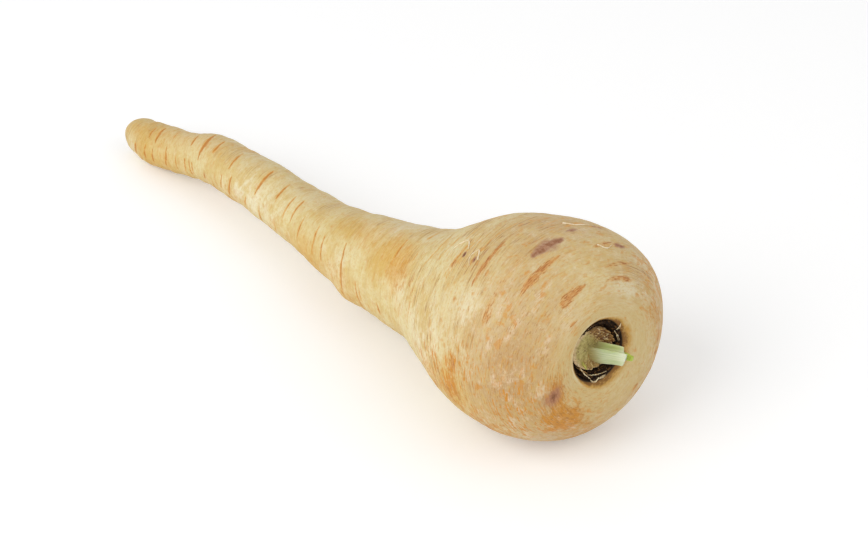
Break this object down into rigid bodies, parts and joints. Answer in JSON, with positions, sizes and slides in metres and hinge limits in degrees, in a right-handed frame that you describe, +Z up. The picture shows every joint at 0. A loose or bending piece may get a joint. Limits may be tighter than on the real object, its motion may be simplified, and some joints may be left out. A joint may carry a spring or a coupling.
{
  "type": "parsnip",
  "caption": "A whole raw parsnip lying on its side: a fat pale taproot that narrows to a long blunt tail, with a cut leaf stalk standing in a soil-lined pit in its crown.",
  "frame": {"origin": "on the surface that the parsnip lies on, under the middle of its bounding box", "axes": "+X along the root from tail to crown, +Z up, +Y completes the right-handed frame"},
  "size_m": [0.2472, 0.0684, 0.0669],
  "materials": {
    "skin": "satin, cream to ochre root skin with brown creases",
    "soil": "matte, dry dark crumbs of soil",
    "sheath": "satin, buff and grey-green fleshy leaf foot",
    "stalk": "satin, pale green ribbed stalk",
    "shoot": "satin, bright green young shoot",
    "bud": "satin, olive bud",
    "scale": "matte, dry brown papery leaf edge",
    "fibre": "matte, straw-coloured dry fibre",
    "rootlet": "matte, thin brown rootlet"
  },
  "bodies": {
    "root": {"root": "skin", "crown_soil": "soil", "stalk_sheath": "sheath", "leaf_stalk": "stalk", "inner_shoot": "shoot", "side_bud": "bud", "dead_scale_1": "scale", "dead_scale_2": "scale", "dead_scale_3": "scale", "dead_scale_4": "scale", "dead_scale_5": "scale", "crown_fibre_1": "fibre", "crown_fibre_2": "fibre", "crown_fibre_3": "fibre", "crown_fibre_4": "fibre", "crown_fibre_5": "fibre", "crown_fibre_6": "fibre", "rootlet_1": "rootlet", "rootlet_2": "rootlet", "rootlet_3": "rootlet", "rootlet_4": "rootlet", "rootlet_5": "rootlet", "rootlet_6": "rootlet"}
  },
  "joints": []
}
